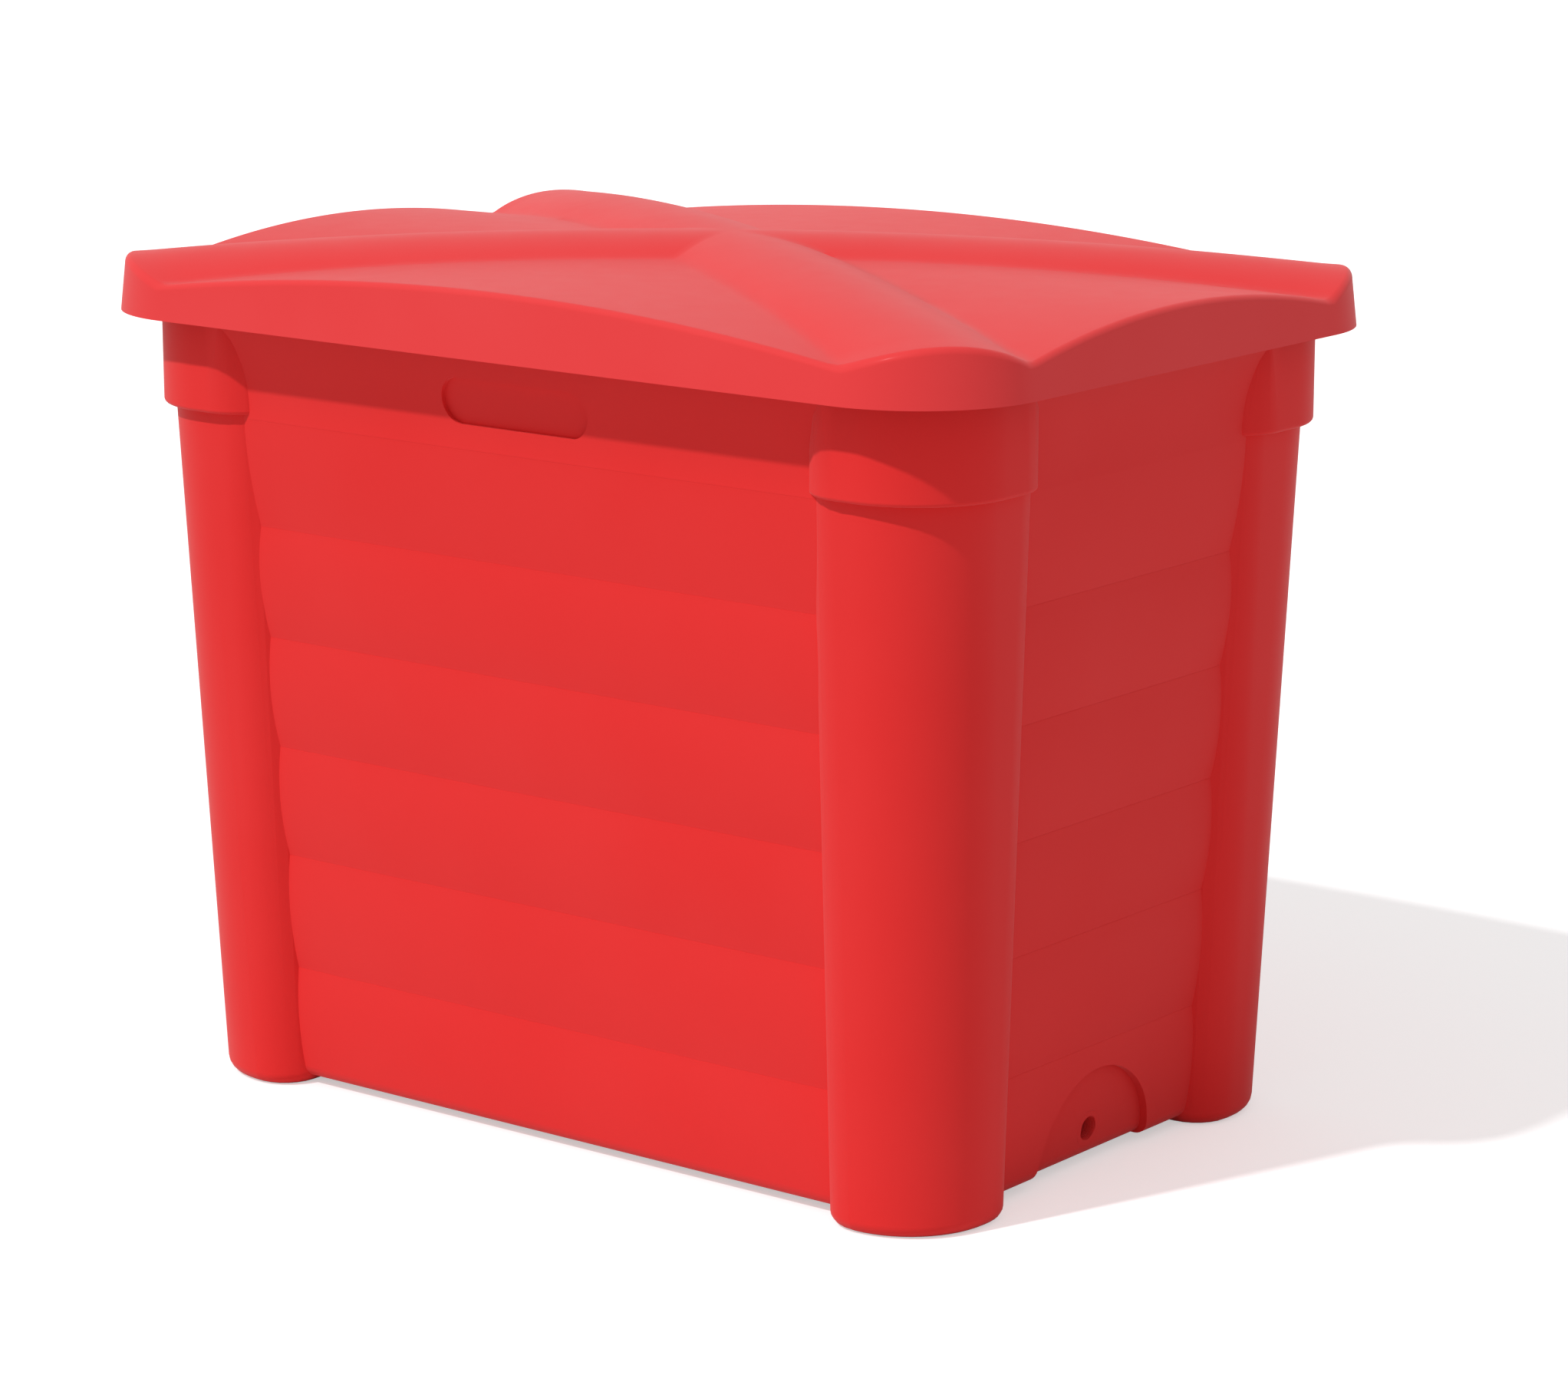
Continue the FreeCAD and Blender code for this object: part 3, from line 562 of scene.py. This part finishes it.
def makeLid():
    skin = lidRings()
    vaultLid(skin)
    alone(skin)
    bpy.ops.object.mode_set(mode="EDIT")
    bpy.ops.mesh.select_all(action="SELECT")
    bpy.ops.mesh.normals_make_consistent(inside=False)
    done()
    wall = skin.modifiers.new("wall", "SOLIDIFY")
    wall.thickness = lid["wall"]
    wall.offset = -1
    wall.use_even_offset = True
    bpy.ops.object.modifier_apply(modifier=wall.name)
    print("lid: shell,", len(skin.data.polygons), "faces")
    bolt, boss, face = tub["bolt"], lid["boss"], lid["padFace"]
    for x in tub["hinges"]:
        pad = block("pad", (x - lid["padHalf"], face, lid["foot"] + 3 * seam),
                    (x + lid["padHalf"], face + lid["padDeep"], lid["padTop"]))
        carve(skin, pad, "UNION")
        for side in (-0.5, 0.5):
            boltX, start = x + side * bolt["spread"], face + boss["in"]
            carve(skin, bar("boss", boss["radius"], (boltX, start, lid["boltZ"]), boss["face"] - start, "y",
                            boss["sides"]), "UNION")
            carve(skin, bar("hole", bolt["hole"], (boltX, face - lid["holeOut"], lid["boltZ"]),
                            bolt["length"], "y", bolt["sides"]))
    print("lid: hinge pads and bosses,", len(skin.data.polygons), "faces")
    shade(skin, lid["smooth"])
    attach(skin, "lid_body")
    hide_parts("lid")
    return skin


lidSkin = makeLid()

# materials

plastic = {
    "tub": ((0.80, 0.028, 0.027, 1), (0.81, 0.033, 0.032, 1)),
    # the lid's paler, pinker red is painted sheen: a lighter colour standing in for the sky's grazing
    # reflection on its top and skirt
    "lid": ((0.79, 0.048, 0.050, 1), (0.80, 0.056, 0.058, 1)),
    "inputs": {"Specular IOR Level": 0.04, "Sheen Weight": 0.10, "Coat Weight": 0.03, "Coat Roughness": 0.2},
    "roughness": (0.46, 0.50), "cloud": (5, 4), "patches": (40, 5), "grain": (900, 3),
    "bump": {"Strength": 0.08, "Distance": 0.0002},
}
zinc = {
    "colours": ((0.66, 0.67, 0.68, 1), (0.50, 0.51, 0.53, 1)), "spangle": 260,
    "inputs": {"Metallic": 1},
    "roughness": (0.28, 0.46), "patches": (300, 4), "grain": (1800, 2),
    "bump": {"Strength": 0.12, "Distance": 0.0002},
}


def startMaterial(name):
    material = bpy.data.materials.new(name)
    material.use_nodes = True
    nodes, links = material.node_tree.nodes, material.node_tree.links
    nodes.clear()
    output = nodes.new("ShaderNodeOutputMaterial")
    shader = nodes.new("ShaderNodeBsdfPrincipled")
    links.new(shader.outputs["BSDF"], output.inputs["Surface"])
    place = nodes.new("ShaderNodeTexCoord").outputs["Object"]
    return material, nodes, links, shader, place


def setInputs(node, values):
    for name, value in values.items():
        node.inputs[name].default_value = value


def noise(nodes, links, place, scale, detail):
    texture = nodes.new("ShaderNodeTexNoise")
    setInputs(texture, {"Scale": scale, "Detail": detail})
    links.new(place, texture.inputs["Vector"])
    return texture.outputs["Fac"]


def spread(nodes, links, value, low, high):
    # noise, which stays mostly between 0.3 and 0.7, brought between low and high
    ranged = nodes.new("ShaderNodeMapRange")
    setInputs(ranged, {"From Min": 0.3, "From Max": 0.7, "To Min": low, "To Max": high})
    links.new(value, ranged.inputs["Value"])
    return ranged.outputs["Result"]


def mixed(nodes, links, value, first, second):
    mix = nodes.new("ShaderNodeMix")
    mix.data_type = "RGBA"
    setInputs(mix, {"A": first, "B": second})
    links.new(value, mix.inputs["Factor"])
    return mix.outputs["Result"]


def surface(nodes, links, shader, place, kind):
    # roughness in patches under a fine grain
    patches = noise(nodes, links, place, *kind["patches"])
    links.new(spread(nodes, links, patches, *kind["roughness"]), shader.inputs["Roughness"])
    setInputs(shader, kind["inputs"])
    bump = nodes.new("ShaderNodeBump")
    setInputs(bump, kind["bump"])
    links.new(noise(nodes, links, place, *kind["grain"]), bump.inputs["Height"])
    links.new(bump.outputs["Normal"], shader.inputs["Normal"])


def redPlastic(name, colours):
    material, nodes, links, shader, place = startMaterial(name)
    share = spread(nodes, links, noise(nodes, links, place, *plastic["cloud"]), 0, 1)
    links.new(mixed(nodes, links, share, *colours), shader.inputs["Base Color"])
    surface(nodes, links, shader, place, plastic)
    return material


def zincSteel():
    material, nodes, links, shader, place = startMaterial("zincSteel")
    spangle = nodes.new("ShaderNodeTexVoronoi")
    setInputs(spangle, {"Scale": zinc["spangle"]})
    links.new(place, spangle.inputs["Vector"])
    share = spangle.outputs["Distance"]
    links.new(mixed(nodes, links, share, *zinc["colours"]), shader.inputs["Base Color"])
    surface(nodes, links, shader, place, zinc)
    return material


redPlasticMaterial = redPlastic("redPlastic", plastic["tub"])
# the lid's own material carries painted sheen, a paler red in place of the sky's grazing reflection
paintedSheenLidMaterial = redPlastic("paintedSheenPlastic", plastic["lid"])
zincSteelMaterial = zincSteel()
for skin, finish in ((tubSkin, redPlasticMaterial), (lidSkin, paintedSheenLidMaterial),
                     (drainBush, redPlasticMaterial)):
    skin.data.materials.clear()
    skin.data.materials.append(finish)
for part in frame["record"]["subparts"]:
    node = frame["nodes"][part["node"]]
    finish = zincSteelMaterial if part["material_slot"] == "zinc_steel" else redPlasticMaterial
    for slot in node.material_slots:
        slot.material = finish
print("materials: red plastic and zinc steel")

# floor, lights and camera

stage = {
    "size": 60, "lift": 0.50, "skyStrength": 0.48,
    "ground": {"Base Color": (0.72, 0.72, 0.72, 1), "Roughness": 0.9, "Specular IOR Level": 0.1,
               "Emission Color": (1, 1, 1, 1)},
    "keyFrom": (-0.180, -0.606, 0.775), "keyStrength": 2.0, "keySoftness": 2.0,
}
bpy.ops.object.select_all(action="DESELECT")
bpy.ops.mesh.primitive_plane_add(size=stage["size"], location=(0, 0, 0))
floor = bpy.context.object
floor.name = "floor"
# the floor is lifted towards white for the camera, and doesn't light the bin with it
ground, nodes, links, shader, place = startMaterial("paleFloor")
setInputs(shader, stage["ground"])
rays = nodes.new("ShaderNodeLightPath")
lift = nodes.new("ShaderNodeMath")
lift.operation = "MULTIPLY"
lift.inputs[1].default_value = stage["lift"]
links.new(rays.outputs["Is Camera Ray"], lift.inputs[0])
links.new(lift.outputs["Value"], shader.inputs["Emission Strength"])
floor.data.materials.append(ground)

# the sky is white where the camera or gloss shows it, and dimmer as a light
world = bpy.data.worlds.new("studio")
bpy.context.scene.world = world
world.use_nodes = True
nodes, links = world.node_tree.nodes, world.node_tree.links
nodes.clear()
output = nodes.new("ShaderNodeOutputWorld")
sky = nodes.new("ShaderNodeBackground")
setInputs(sky, {"Color": (1, 1, 1, 1)})
rays = nodes.new("ShaderNodeLightPath")
shown = rays.outputs["Is Camera Ray"]
for ray in ("Is Glossy Ray", "Is Transmission Ray"):
    either = nodes.new("ShaderNodeMath")
    either.operation = "MAXIMUM"
    links.new(shown, either.inputs[0])
    links.new(rays.outputs[ray], either.inputs[1])
    shown = either.outputs["Value"]
level = nodes.new("ShaderNodeMapRange")
setInputs(level, {"To Min": stage["skyStrength"], "To Max": 1})
links.new(shown, level.inputs["Value"])
links.new(level.outputs["Result"], sky.inputs["Strength"])
links.new(sky.outputs["Background"], output.inputs["Surface"])

sun = bpy.data.lights.new("key", "SUN")
sun.energy = stage["keyStrength"]
sun.angle = math.radians(stage["keySoftness"])
key = bpy.data.objects.new("key", sun)
bpy.context.scene.collection.objects.link(key)
key.rotation_euler = Vector(stage["keyFrom"]).to_track_quat("Z", "Y").to_euler()

photo = {
    "place": (2.986, -3.736, 1.488), "down": 12.74, "turn": 38.02,
    "lens": 112.47, "sensor": 36, "far": 200,
}
view = bpy.data.cameras.new("photo")
view.lens = photo["lens"]
view.sensor_width = photo["sensor"]
view.sensor_fit = "HORIZONTAL"
view.clip_end = photo["far"]
camera = bpy.data.objects.new("photo", view)
bpy.context.scene.collection.objects.link(camera)
camera.location = photo["place"]
camera.rotation_euler = (math.radians(90 - photo["down"]), 0, math.radians(photo["turn"]))
bpy.context.scene.camera = camera
bpy.context.scene.view_settings.view_transform = "Standard"
print("stage: floor, sky, key light and camera")
